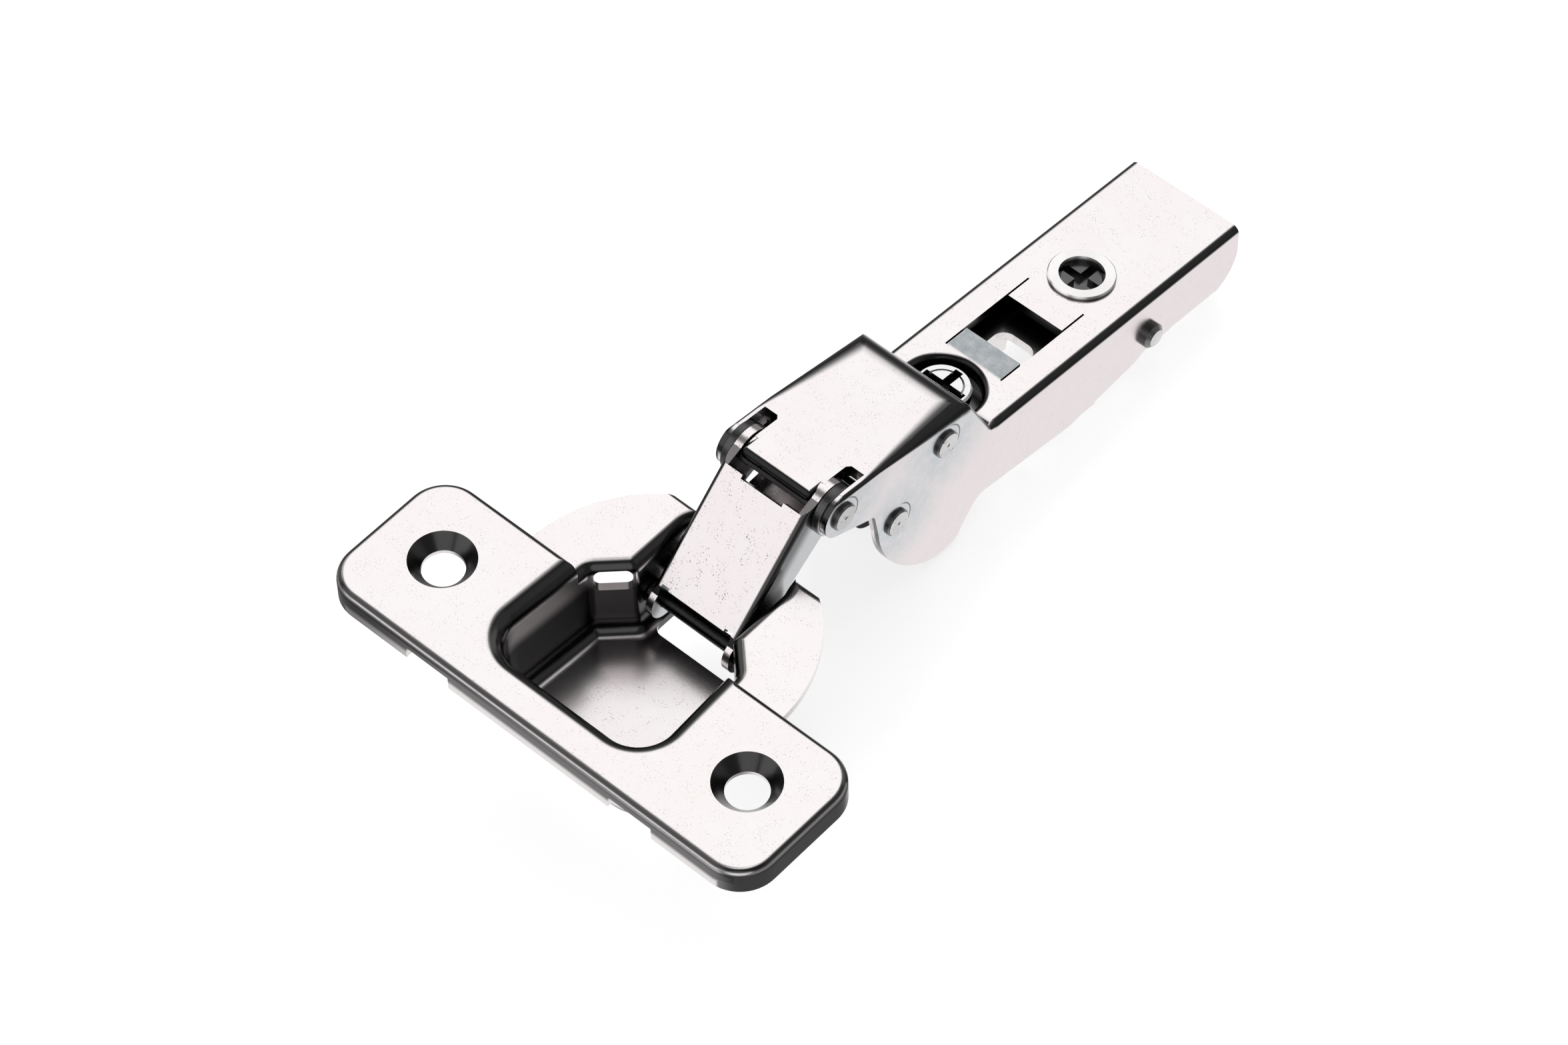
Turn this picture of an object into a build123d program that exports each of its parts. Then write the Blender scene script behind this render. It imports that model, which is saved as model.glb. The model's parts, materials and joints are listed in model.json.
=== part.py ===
from build123d import *
from math import atan2, cos, degrees, radians, sin, sqrt
import os

# Concealed cup hinge for a cabinet door, opened to its stop.
# Origin: axis of the cup bore, on the door's face.  +Z leaves the door, X runs along the
# wings, +Y points from the cup to the arm.  Millimetres.

# ---- widths of the pieces that stack across the joint ---------------------------------
ARM_HALF = 8.1           # outside of the arm
ARM_T = 1.2
EAR_T = 0.8              # the ears are coined thinner
CHANNEL_HALF = ARM_HALF - 0.9    # inner half width of the cup's link channel
LINK_HALF = ARM_HALF - 1.9       # outside of the outer link
LINK_T = 1.0
INNER_HALF = LINK_HALF - LINK_T - 0.5    # outside of the inner link
INNER_T = 1.0
PIN_GAP = 0.05           # running clearance on a pin, radial
SEAT_GAP = 0.02          # clearance of a riveted pin in its hole
SIDE_GAP = 0.05          # side play between stacked cheeks
FAR = 90.0               # cutters run this far past the metal

# ---- door interface -------------------------------------------------------------------
BORE_R = 17.5            # bore in the door
BORE_GAP = 0.1           # the pressing stays inside the bore by this much
SCREW_SPACING = 45.0     # wing screws, centre to centre
SCREW_BACK = 9.5         # screw line in front of the cup axis
CUP_DEPTH = 11.5         # door face to the underside of the cup

# ---- cup pressing ---------------------------------------------------------------------
CUP_T = 1.0              # sheet
WING_HALF = SCREW_SPACING / 2 + 8.9      # half the length of the wing plate
WING_FRONT = SCREW_BACK + 10.5   # wing plate's front edge, in front of the cup axis
WING_REAR = 0.3          # and its rear edge
WING_TOP = 3.4           # wing plate above the door
WING_CORNER_R = 4.8
WING_EDGE_R = 1.0
RELIEF_IN = 11.8         # cut-outs in the front skirt, from the middle
RELIEF_OUT = 18.1
RELIEF_RISE = 1.8        # their height above the door
HOLE_R = 2.5             # screw hole at the bottom of its dimple
HOLE_LAND = 0.5          # straight wall of that hole
DIMPLE_R = 3.95          # and the dimple's mouth
DIMPLE_DEPTH = 2.2
DISC_R = BORE_R + 1.1    # flange round the rear half of the cup
PLAN_R = 1.2             # small corners of the pocket in plan
REAR_CORNER_R = 2.5      # channel's rear corners
POCKET_HALF = BORE_R - 6.1       # pocket's inner half width at the front corners
POCKET_REAR_HALF = POCKET_HALF - 0.6     # and where the diagonal walls start
POCKET_FRONT = BORE_R - 3.4      # inner front wall, in front of the cup axis
POCKET_CORNER_R = 4.3
DIAGONAL_REAR = 5.0      # the diagonal wall meets the channel here
DIAGONAL_FRONT = 1.5
CHANNEL_REAR = BORE_R - 2.1      # inner face of the low rear wall
REAR_WALL_DROP = 7.6     # its top edge below the door's face
FLOOR_R = 1.8            # inner radius between floor and walls
FLARE_R = 2.4            # rolled rim at the wing plate
ROLL_R = 1.6             # rolled rim at the flange
DISC_EDGE_R = 0.9        # and the flange's edge behind the channel
WINDOW_TOP = 0.0         # windows in the diagonal walls, below the door's face
WINDOW_H = 3.2
WINDOW_W = 4.4
WINDOW_R = 0.8
SLOT_HALF = CHANNEL_HALF - 1.3   # opening in the channel's floor
SLOT_FRONT = 5.8
SLOT_REAR = 13.4

# ---- pivots at rest -------------------------------------------------------------------
OUTER_PIVOT = (7.5, -6.0)        # outer link on the cup (y, z)
INNER_PIVOT = (11.3, -5.8)       # inner link on the cup
ARM_FRONT_PIVOT = (22.2, 6.3)    # outer link on the arm
ARM_TILT = -6.44                 # arm against the door's face, degrees
ARM_REAR_U = 9.83                # inner link's rivet, along the arm
ARM_REAR_V = -8.65               # and above it

PIN_R = 0.95             # outer pin of the cup
INNER_PIN_R = 0.95       # inner pin of the cup
PIN_END_CHAMFER = 0.15
CUP_WASHER_R = 1.45
RIVET_R = 1.45           # rivets of the arm
RIVET_HEAD_R = 1.75
RIVET_HEAD_H = 0.5

# ---- outer link -----------------------------------------------------------------------
LINK_FOLD_R = 0.8
LINK_EYE_R = 2.4         # round the cup pin
LINK_EAR_R = 3.2         # round the arm's rivet
LINK_BACK_LOW = 2.85     # back plate above the line of pivots, at the cup
LINK_BACK_HIGH = 3.95    # and at the arm
LINK_BACK_START = 1.5    # where the back plate starts along the line
LINK_NOTCH = 0.36        # it starts later beside the cheeks
LINK_NOTCH_W = 1.1
LINK_BACK_STOP = 1.9     # and how far before the arm's rivet it ends
LINK_EDGE = 1.6          # cheeks reach this far below the line
LIP_IN = 3.0             # the two lips at the plate's arm end
LIP_STEP = 0.5

# ---- inner link -----------------------------------------------------------------------
INNER_EYE_R = 2.2
INNER_RIVET_R = 1.2      # shank of the inner link's rivet between the cheeks
CAM_R = 3.7              # cam end inside the arm
CAM_BORE_R = 2.6         # its bore leaves the rivet room over the whole travel
CAM_SHIFT = (0.45, 0.5)  # middle of that bore against the rivet, door open
DOOR_CLEAR = 0.6         # lower edge of the link above the door's face
BORE_EDGE_CLEAR = 0.3    # and inside the bore
NECK = 1.7               # depth of the link where it rises out of the cup
STRAP = 2.3              # and where it runs over the door
STEP = 1.2               # bevel between the two

# ---- arm ------------------------------------------------------------------------------
ARM_FOLD_R = 1.0         # folds along the rear top face
FACE_FOLD_R = 0.5        # and down the rear of the hump
FOLD_FRONT_R = 0.35      # folds beside the roof widen from here
FOLD_REAR_R = 2.4        # to here
FOLD_START = 4.4
ARM_LENGTH = 70.9        # from the front rivet to the rear edge
ARM_PLANE = -5.6         # rear top face
HUMP_TOP = 2.9
HUMP_FALL = 0.65         # the hump sinks by this towards the rear
HUMP_END = 21.0
HUMP_FOOT = 25.9
HUMP_R = 3.5             # crest of the hump at its rear
FOOT_R = 1.2             # and where it meets the rear face
EAR_R = 2.85
TONGUE_HALF = ARM_HALF - 3.05
TONGUE_ROOT_HALF = ARM_HALF - 2.65
TONGUE_FRONT = 2.45      # in front of the rivet
TONGUE_R = 0.6
EAR_SLOT_REAR = 4.2
EDGE_FRONT = 5.6         # the lobe's front edge meets the front arm's underside
EDGE_LOW = -4.7
LOBE_NECK = (6.9, -8.6)  # outline of the lobe round the inner link's rivet (u, v)
LOBE_BELLY = (9.7, -15.2)
LOBE_TIP = (15.3, -20.1)
LOBE_CHIN = (18.4, -21.2)
LOBE_HEEL = (21.2, -21.0)
LOBE_CORNER = (22.0, -20.4)
LOBE_REAR = (22.4, -19.6)
LOBE_BACK = (24.2, -17.0)
SKIRT_NOTCH = (25.3, -16.3)
SKIRT_FRONT = (27.0, -16.2)
SKIRT_LOW = (41.5, -17.2)
SKIRT_REAR = (ARM_LENGTH - 17.9, -15.2)
SKIRT_END = (ARM_LENGTH - 15.5, -14.1)
TAIL_LOW = (ARM_LENGTH - 2.5, -14.0)
TAIL_TURN = -12.5        # the rear edge starts to turn in at this height
TAIL_TOP = -9.6
TAIL_BULGE = 0.4         # and bows out past the top face
TAIL_IN = 0.6
LUG_H = 0.9              # small lugs below the walls
LUG_IN = 0.4
LUGS = ((ARM_LENGTH - 28.1, ARM_LENGTH - 24.3), (ARM_LENGTH - 14.3, ARM_LENGTH - 10.9))
SPRING_RIVET = (17.5, -1.7)
REAR_PIN = (ARM_LENGTH - 15.8, -11.7)
REAR_PIN_R = 1.2
REAR_PIN_HEAD_R = 1.6
REAR_PIN_HEAD_H = 1.2

# ---- adjusters ------------------------------------------------------------------------
SIDE_SCREW_U = 27.0
SIDE_HOLE_R = 4.6
SIDE_HOLE_LIP = 1.0      # rolled lip round that hole
SIDE_COLLAR = 0.6        # and the collar below it
SIDE_HEAD_R = 3.4
SIDE_HEAD_TOP = -5.4
SIDE_HEAD_H = 1.5
SIDE_SHANK_R = 2.3
SIDE_SCREW_END = -15.0
SIDE_RECESS = 5.8        # cross recess, tip to tip
RING_OUT = 0.9           # ring groove in from the head's edge
RING_W = 0.25
RING_DEPTH = 0.35
BUSH_R = 3.2
BUSH_FLANGE_R = 4.2
BUSH_FLANGE_H = 1.2
BUSH_END = -12.6
CAM_U = ARM_LENGTH - 19.2
CAM_FLANGE_R = 4.05
CAM_FLANGE_H = 0.5
CAM_BODY_R = 3.5
CAM_BODY_GAP = 0.1
CAM_RECESS_R = 2.75
CAM_DISH = 0.9           # depth of the dish round its cross recess
CAM_DISH_SLOPE = 0.35
CAM_THROW = 1.15         # offset of the cam's pin
CAM_PIN_R = 1.6
CAM_STEP = 0.8           # cam body below the arm's sheet
CAM_PIN_END = 0.6        # pin below the carriage's sheet
RECESS_DEPTH = 1.9
RECESS_W = 1.1           # width of the cross recess

# ---- window in the arm ----------------------------------------------------------------
WINDOW_HALF = 4.0        # window in the rear top face
LIP_FRONT = SIDE_SCREW_U + 8.9
LIP_REAR = CAM_U - 8.4
SLIT_FRONT = LIP_FRONT - 3.6
SLIT_REAR = LIP_REAR + 3.8
SLIT_W = 0.25

# ---- closing spring -------------------------------------------------------------------
SPRING_W = 8.6           # width of the leaf
SPRING_T = 0.7
SPRING_GAP = 0.25
SPRING_CAM_GAP = 0.75    # leg above the rivet's cam, which rises a little over the travel
SPRING_LEG = 7.0
SPRING_TIP = 0.4

# ---- carriage -------------------------------------------------------------------------
CARRIAGE_T = 1.2
CARRIAGE_GAP = 0.3       # beside the arm's walls
CARRIAGE_HALF = ARM_HALF - ARM_T - CARRIAGE_GAP
CARRIAGE_TOP = ARM_PLANE - ARM_T - 1.8
CARRIAGE_FRONT = 16.6
CARRIAGE_REAR = ARM_LENGTH - 4.9
CARRIAGE_EDGE = -15.0    # lower edge of its walls
CARRIAGE_TRAVEL = 1.0    # depth adjustment each way
HOOK_TIP = -19.3         # front hooks
HOOK_REAR = 22.6
HOOK_MOUTH = (21.4, -16.9)
HOOK_MOUTH_R = 1.6
HOOK_NOSE = 1.5
HOOK_BEVEL = 0.8
FOOT_TIP = -17.6         # feet behind the window
FOOT_BEVEL = 0.6
FEET = ((43.2, 46.6), (33.5, 36.5))
CARRIAGE_SLOT_HALF = 2.7
CARRIAGE_SLOT_FRONT = LIP_FRONT - 2.9
CARRIAGE_SLOT_REAR = CARRIAGE_SLOT_FRONT + 8.2
CARRIAGE_SLOT_R = 1.6
BLOCK_HALF_U = 1.9       # slide blocks on the rear pin
BLOCK_HALF_V = 1.65
BLOCK_GAP = 0.05

# ---- clip lever -----------------------------------------------------------------------
LEVER_PIVOT = (ARM_LENGTH - 8.3, -12.2)
LEVER_PIN_R = 1.0
LEVER_T = 1.0
LEVER_GAP = 0.25         # beside the carriage's walls
LEVER_HALF = CARRIAGE_HALF - CARRIAGE_T - LEVER_GAP
LEVER_TAB_U = ARM_LENGTH + 0.2   # rear face of the thumb tab
LEVER_TAB_TOP = -7.1
LEVER_CORNER_R = 0.8
CLAW_TIP = -17.4
WIRE = 0.6               # its spring
WIRE_GAP = 0.15
WIRE_HALF = 1.6          # half the width of its coil
WIRE_LEG = 1.2

os.makedirs("parts", exist_ok=True)

# ---- helpers --------------------------------------------------------------------------
ARM_PLACE = Pos(0, *ARM_FRONT_PIVOT) * Rot(ARM_TILT, 0, 0)


def rotated(point, angle):
    c, s = cos(radians(angle)), sin(radians(angle))
    return (point[0] * c - point[1] * s, point[0] * s + point[1] * c)


def arm_point(u, v):
    """A point of the arm's side view, in the hinge's own (y, z)."""
    y, z = rotated((u, v), ARM_TILT)
    return (ARM_FRONT_PIVOT[0] + y, ARM_FRONT_PIVOT[1] + z)


ARM_REAR_PIVOT = arm_point(ARM_REAR_U, ARM_REAR_V)
LINK_RUN = (ARM_FRONT_PIVOT[0] - OUTER_PIVOT[0], ARM_FRONT_PIVOT[1] - OUTER_PIVOT[1])
LINK_LENGTH = sqrt(LINK_RUN[0] ** 2 + LINK_RUN[1] ** 2)
LINK_ANGLE = degrees(atan2(LINK_RUN[1], LINK_RUN[0]))


def side_face(wire_edges):
    """A face in the YZ plane from edges drawn as (y, z)."""
    return Plane.YZ * make_face(wire_edges)


def polygon_face(points):
    return side_face(Polyline(*points, close=True))


def slab(face, x0, x1):
    """A face of the YZ plane made solid from x0 to x1."""
    return extrude(Pos(x0, 0, 0) * face, amount=x1 - x0, dir=(1, 0, 0))


def cross_pin(centre, radius, x0, x1):
    return slab(Plane.YZ * Pos(*centre) * Circle(radius), x0, x1)


def both_sides(solid):
    return solid + mirror(solid, about=Plane.YZ)


def box(x0, x1, y0, y1, z0, z1):
    return Pos((x0 + x1) / 2, (y0 + y1) / 2, (z0 + z1) / 2) * Box(x1 - x0, y1 - y0, z1 - z0)


def column(centre, radius, z0, z1):
    return Pos(centre[0], centre[1], (z0 + z1) / 2) * Cylinder(radius, z1 - z0)


def save(solid, name):
    solid.label = name
    export_step(solid, f"parts/{name}.step")


# ---- cup ------------------------------------------------------------------------------
def pocket_outline(grow=0.0):
    """Plan of the pocket and channel, grown outwards by a wall."""
    corner = (POCKET_HALF - POCKET_CORNER_R, -POCKET_FRONT + POCKET_CORNER_R)
    right = [(0, CHANNEL_REAR), (CHANNEL_HALF, CHANNEL_REAR), (CHANNEL_HALF, DIAGONAL_REAR),
             (POCKET_REAR_HALF, DIAGONAL_FRONT), (POCKET_HALF, corner[1])]
    arc_mid = (corner[0] + POCKET_CORNER_R * cos(radians(45)),
               corner[1] - POCKET_CORNER_R * sin(radians(45)))
    edges = [Line(a, b) for a, b in zip(right, right[1:])]
    edges.append(ThreePointArc(right[-1], arc_mid, (corner[0], -POCKET_FRONT)))
    edges.append(Line((corner[0], -POCKET_FRONT), (0, -POCKET_FRONT)))
    half = make_face(edges + [Line((0, -POCKET_FRONT), (0, CHANNEL_REAR))])
    plan = half + mirror(half, about=Plane.YZ)
    plan = fillet(plan.vertices().group_by(Axis.Y)[-1], REAR_CORNER_R)
    bends = [v for v in plan.vertices() if DIAGONAL_FRONT - 0.1 < v.Y < DIAGONAL_REAR + 0.1]
    plan = fillet(bends, PLAN_R)
    return offset(plan, amount=grow) if grow else plan


def rolled_plug(outline, top, radius, reach):
    """The pocket's filled shape up to a rim that rolls outwards by radius."""
    frame = Rectangle(6 * BORE_R, 6 * BORE_R)
    die = extrude(Pos(0, 0, top - radius) * (frame - outline), amount=radius)
    rim = [e for e in die.edges().filter_by_position(Axis.Z, top, top)
           if e.bounding_box().size.length < 4.5 * BORE_R and abs(e.center().X) < 2 * BORE_R]
    die = fillet(rim, radius * 0.999)
    blank = extrude(Pos(0, 0, top - radius) * frame, amount=radius)
    below = extrude(Pos(0, 0, top - radius) * outline, amount=-reach)
    return (blank - die) + below


def cup():
    mid_y = -(WING_FRONT + WING_REAR) / 2
    depth = WING_FRONT - WING_REAR
    under = WING_TOP - CUP_T
    wing = extrude(Pos(0, mid_y) * RectangleRounded(2 * WING_HALF, depth, WING_CORNER_R), amount=WING_TOP)
    wing = fillet(wing.edges().group_by(Axis.Z)[-1], WING_EDGE_R)
    hollow = extrude(Pos(0, mid_y) * RectangleRounded(2 * (WING_HALF - CUP_T), depth - 2 * CUP_T,
                                                      WING_CORNER_R - CUP_T), amount=under)
    disc = extrude(Circle(DISC_R), amount=CUP_T)
    disc -= box(-DISC_R, DISC_R, -DISC_R, -WING_REAR - CUP_T / 2, -CUP_T, 2 * CUP_T)
    disc -= box(-DISC_R, DISC_R, CHANNEL_REAR, DISC_R, -CUP_T, 2 * CUP_T)
    rear_edge = [e for e in disc.edges() if abs(e.center().Y - CHANNEL_REAR) < 0.01
                 and abs(e.center().Z - CUP_T) < 0.01]
    disc = fillet(rear_edge, DISC_EDGE_R)

    shell = rolled_plug(pocket_outline(CUP_T), under, FLARE_R - CUP_T, under + CUP_DEPTH - FLARE_R + CUP_T)
    shell = fillet(shell.edges().group_by(Axis.Z)[0], FLOOR_R + CUP_T)
    shell -= box(-BORE_R, BORE_R, -WING_REAR, BORE_R, CUP_T, WING_TOP)
    in_bore = column((0, 0), BORE_R - BORE_GAP, -CUP_DEPTH, 0)
    shell = (shell & in_bore) + (shell - box(-FAR, FAR, -FAR, FAR, -FAR, 0))

    floor = CUP_T - CUP_DEPTH
    front = rolled_plug(pocket_outline(), WING_TOP, FLARE_R, WING_TOP - FLARE_R - floor)
    front = fillet(front.edges().group_by(Axis.Z)[0], FLOOR_R)
    front -= box(-BORE_R, BORE_R, -WING_REAR, BORE_R, CUP_T - ROLL_R, WING_TOP)
    rear = rolled_plug(pocket_outline(), CUP_T, ROLL_R, CUP_T)
    rear -= box(-BORE_R, BORE_R, -BORE_R, -WING_REAR, -2 * CUP_T, WING_TOP)

    body = (wing - hollow) + disc + shell - front - rear
    mouth = box(-CHANNEL_HALF, CHANNEL_HALF, CHANNEL_REAR - REAR_CORNER_R, DISC_R, -REAR_WALL_DROP, WING_TOP)
    body -= mouth
    body -= both_sides(wall_window())
    body -= extrude(Pos(0, (SLOT_FRONT + SLOT_REAR) / 2, -CUP_DEPTH)
                    * RectangleRounded(2 * SLOT_HALF, SLOT_REAR - SLOT_FRONT, PLAN_R), amount=2 * CUP_T)
    for side in (-1, 1):
        at = Pos(side * SCREW_SPACING / 2, -SCREW_BACK)
        cone = DIMPLE_DEPTH - HOLE_LAND
        body += at * Pos(0, 0, WING_TOP - DIMPLE_DEPTH / 2) * Cone(HOLE_R + CUP_T, DIMPLE_R + CUP_T / 2, DIMPLE_DEPTH)
        body -= at * Pos(0, 0, WING_TOP - cone / 2) * Cone(HOLE_R, DIMPLE_R, cone)
        body -= at * column((0, 0), HOLE_R, WING_TOP - DIMPLE_DEPTH - CUP_T, WING_TOP - cone + SEAT_GAP)
        relief = box(RELIEF_IN, RELIEF_OUT, -FAR, -WING_FRONT + CUP_T, -CUP_T, RELIEF_RISE)
        body -= relief if side > 0 else mirror(relief, about=Plane.YZ)
    outer_hole = cross_pin(OUTER_PIVOT, PIN_R + SEAT_GAP, -BORE_R, BORE_R)
    inner_hole = cross_pin(INNER_PIVOT, INNER_PIN_R + SEAT_GAP, -BORE_R, BORE_R)
    return body - outer_hole - inner_hole


def wall_window():
    """Cutter for the window in the right diagonal wall."""
    start, end = Vector(CHANNEL_HALF, DIAGONAL_REAR), Vector(POCKET_REAR_HALF, DIAGONAL_FRONT)
    middle = (start + end) * 0.5
    along = (end - start).normalized()
    across = Vector(-along.Y, along.X)
    centre = Vector(middle.X, middle.Y, -WINDOW_TOP - WINDOW_H / 2)
    plane = Plane(origin=centre, x_dir=along, z_dir=across)
    return extrude(plane * RectangleRounded(WINDOW_W, WINDOW_H, WINDOW_R), amount=3 * CUP_T, both=True)


def cup_pin(centre, radius):
    """Plain pin across the channel, its ends dressed flush with the outer walls."""
    reach = CHANNEL_HALF + CUP_T
    pin = cross_pin(centre, radius, -reach, reach)
    return chamfer(pin.edges().filter_by(GeomType.CIRCLE), PIN_END_CHAMFER)


# ---- outer link -----------------------------------------------------------------------
def outer_link():
    length = LINK_LENGTH
    start = (LINK_BACK_START, LINK_BACK_LOW)
    stop = (length - LINK_BACK_STOP, LINK_BACK_HIGH)
    cheek = polygon_face([start, stop, (length + 0.55 * LINK_EAR_R, 0.83 * LINK_EAR_R),
                          (length, -0.985 * LINK_EAR_R), (length - LINK_EAR_R, -1.3 * LINK_EDGE),
                          (0.45 * length, -LINK_EDGE), (1.3 * LINK_EYE_R, -0.25 * LINK_EYE_R),
                          (0, 0), (-0.75 * LINK_EYE_R, 0.65 * LINK_EYE_R)])
    link = slab(cheek, -LINK_HALF, LINK_HALF)
    link += cross_pin((0, 0), LINK_EYE_R, -LINK_HALF, LINK_HALF)
    link += cross_pin((length, 0), LINK_EAR_R, -LINK_HALF, LINK_HALF)
    folds = [e for e in link.edges() if e.length > 0.7 * length and e.center().Z > LINK_BACK_LOW
             and abs(abs(e.center().X) - LINK_HALF) < 0.01]
    link = fillet(folds, LINK_FOLD_R)
    inner = LINK_HALF - LINK_T
    slope = (LINK_BACK_HIGH - LINK_BACK_LOW) / (stop[0] - start[0])
    low_end, high_end = (start[1] - LINK_T - FAR * slope, stop[1] - LINK_T + FAR * slope)
    inside = polygon_face([(start[0] - FAR, low_end), (stop[0] + FAR, high_end), (stop[0] + FAR, -FAR),
                           (start[0] - FAR, -FAR)])
    link -= slab(inside, -inner, inner)
    link -= box(-inner, inner, -FAR, start[0], -FAR, FAR)
    link -= both_sides(box(inner - LINK_NOTCH_W, inner, -FAR, start[0] + LINK_NOTCH, -FAR, FAR))
    link -= box(-inner, inner, stop[0], FAR, -FAR, FAR)
    link -= box(-LIP_IN, LIP_IN, stop[0] - LIP_STEP, FAR, -FAR, FAR)
    link -= cross_pin((0, 0), PIN_R + PIN_GAP, -LINK_HALF, LINK_HALF)
    link -= cross_pin((length, 0), RIVET_R + PIN_GAP, -LINK_HALF, LINK_HALF)
    return Pos(0, *OUTER_PIVOT) * Rot(LINK_ANGLE, 0, 0) * link


def washer(centre, bore, radius, x0, x1):
    ring = cross_pin(centre, radius, x0, x1)
    ring = chamfer(ring.edges().filter_by(GeomType.CIRCLE), 0.1 * (x1 - x0))
    return ring - cross_pin(centre, bore, x0, x1)


# ---- inner link -----------------------------------------------------------------------
def inner_link():
    eye_y, eye_z = INNER_PIVOT
    cam_y, cam_z = ARM_REAR_PIVOT[0] + CAM_SHIFT[0], ARM_REAR_PIVOT[1] + CAM_SHIFT[1]
    bore_y = sqrt(BORE_R ** 2 - INNER_HALF ** 2) - BORE_EDGE_CLEAR
    shoulder = bore_y + STEP
    foot_y = cam_y - 0.9 * CAM_R
    outline = [(eye_y + 0.7 * INNER_EYE_R, eye_z - 0.73 * INNER_EYE_R), (bore_y - STEP, eye_z + 0.45 * INNER_EYE_R),
               (bore_y, eye_z + INNER_EYE_R), (bore_y, DOOR_CLEAR - STEP), (shoulder, DOOR_CLEAR),
               (foot_y - STRAP, DOOR_CLEAR), (foot_y, cam_z - STEP), (cam_y, cam_z),
               (cam_y - 0.16 * CAM_R, cam_z + 0.97 * CAM_R), (foot_y - STRAP + 0.7, DOOR_CLEAR + STRAP),
               (shoulder, DOOR_CLEAR + STRAP - 0.3), (bore_y - NECK, DOOR_CLEAR - 0.4),
               (bore_y - NECK, eye_z + 1.77 * INNER_EYE_R), (eye_y + 0.89 * INNER_EYE_R, eye_z + 0.57 * INNER_EYE_R),
               (eye_y, eye_z)]
    face = polygon_face(outline)
    link = slab(face, -INNER_HALF, INNER_HALF)
    link += cross_pin(INNER_PIVOT, INNER_EYE_R, -INNER_HALF, INNER_HALF)
    link += cross_pin((cam_y, cam_z), CAM_R, -INNER_HALF, INNER_HALF)
    keep = INNER_HALF - INNER_T
    hollow = slab(Plane.YZ * Rectangle(2 * FAR, 2 * FAR), -keep, keep)
    web = slab(polygon_face([(bore_y - NECK, eye_z + 1.4 * INNER_EYE_R), (bore_y, eye_z + 1.4 * INNER_EYE_R),
                             (bore_y, DOOR_CLEAR - STEP), (shoulder, DOOR_CLEAR), (foot_y - STRAP, DOOR_CLEAR),
                             (foot_y, cam_z - STEP), (foot_y + 0.4, cam_z),
                             (foot_y - STRAP + 0.4, DOOR_CLEAR + INNER_T), (shoulder - 0.6, DOOR_CLEAR + INNER_T),
                             (bore_y - INNER_T, DOOR_CLEAR - 0.8), (bore_y - NECK, DOOR_CLEAR - 0.8)]),
               -keep, keep)
    link = (link - hollow) + web
    link -= cross_pin((cam_y, cam_z), CAM_BORE_R, -INNER_HALF, INNER_HALF)
    link -= cross_pin(INNER_PIVOT, INNER_PIN_R + PIN_GAP, -INNER_HALF, INNER_HALF)
    return link


# ---- arm ------------------------------------------------------------------------------
def mitred(points, depth):
    """The same chain of points, set in by depth on its right-hand side."""
    normals = []
    for (u0, v0), (u1, v1) in zip(points, points[1:]):
        run = sqrt((u1 - u0) ** 2 + (v1 - v0) ** 2)
        normals.append(((v1 - v0) / run, (u0 - u1) / run))
    inset = [(points[0][0] + normals[0][0] * depth, points[0][1] + normals[0][1] * depth)]
    for (u, v), a, b in zip(points[1:], normals, normals[1:]):
        scale = depth / (1 + a[0] * b[0] + a[1] * b[1])
        inset.append((u + (a[0] + b[0]) * scale, v + (a[1] + b[1]) * scale))
    last = normals[-1]
    inset.append((points[-1][0] + last[0] * depth, points[-1][1] + last[1] * depth))
    return inset


ROOF = [(0, HUMP_TOP), (HUMP_END, HUMP_TOP - HUMP_FALL), (HUMP_FOOT, ARM_PLANE), (ARM_LENGTH, ARM_PLANE)]


def arm_side():
    """Side view of the arm's outer shape."""
    roof = FilletPolyline(*ROOF, radius=[HUMP_R, FOOT_R])
    rear = (ARM_LENGTH + TAIL_BULGE, TAIL_TOP)
    edges = [Line(ROOF[-1], rear), ThreePointArc(rear, (ARM_LENGTH - TAIL_IN, TAIL_TURN), TAIL_LOW)]
    edges.append(Polyline(TAIL_LOW, SKIRT_END, SKIRT_REAR, SKIRT_LOW, SKIRT_FRONT))
    edges.append(ThreePointArc(SKIRT_FRONT, SKIRT_NOTCH, LOBE_BACK))
    edges.append(Line(LOBE_BACK, LOBE_REAR))
    edges.append(ThreePointArc(LOBE_REAR, LOBE_CORNER, LOBE_HEEL))
    edges.append(ThreePointArc(LOBE_HEEL, LOBE_CHIN, LOBE_TIP))
    edges.append(ThreePointArc(LOBE_TIP, LOBE_BELLY, LOBE_NECK))
    turn_low = (EDGE_FRONT + 0.14 * EAR_R, EDGE_LOW - 0.25 * EAR_R)
    turn_high = (EDGE_FRONT - 0.25 * EAR_R, EDGE_LOW + 0.05 * EAR_R)
    edges.append(Line(LOBE_NECK, turn_low))
    edges.append(ThreePointArc(turn_low, (EDGE_FRONT + 0.02 * EAR_R, EDGE_LOW - 0.035 * EAR_R), turn_high))
    ear_low = (-0.25 * EAR_R, -0.97 * EAR_R)
    edges.append(Line(turn_high, ear_low))
    edges.append(ThreePointArc(ear_low, (-EAR_R, 0), (0, EAR_R)))
    edges.append(Line((0, EAR_R), (0, HUMP_TOP)))
    return side_face([roof] + edges)


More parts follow.
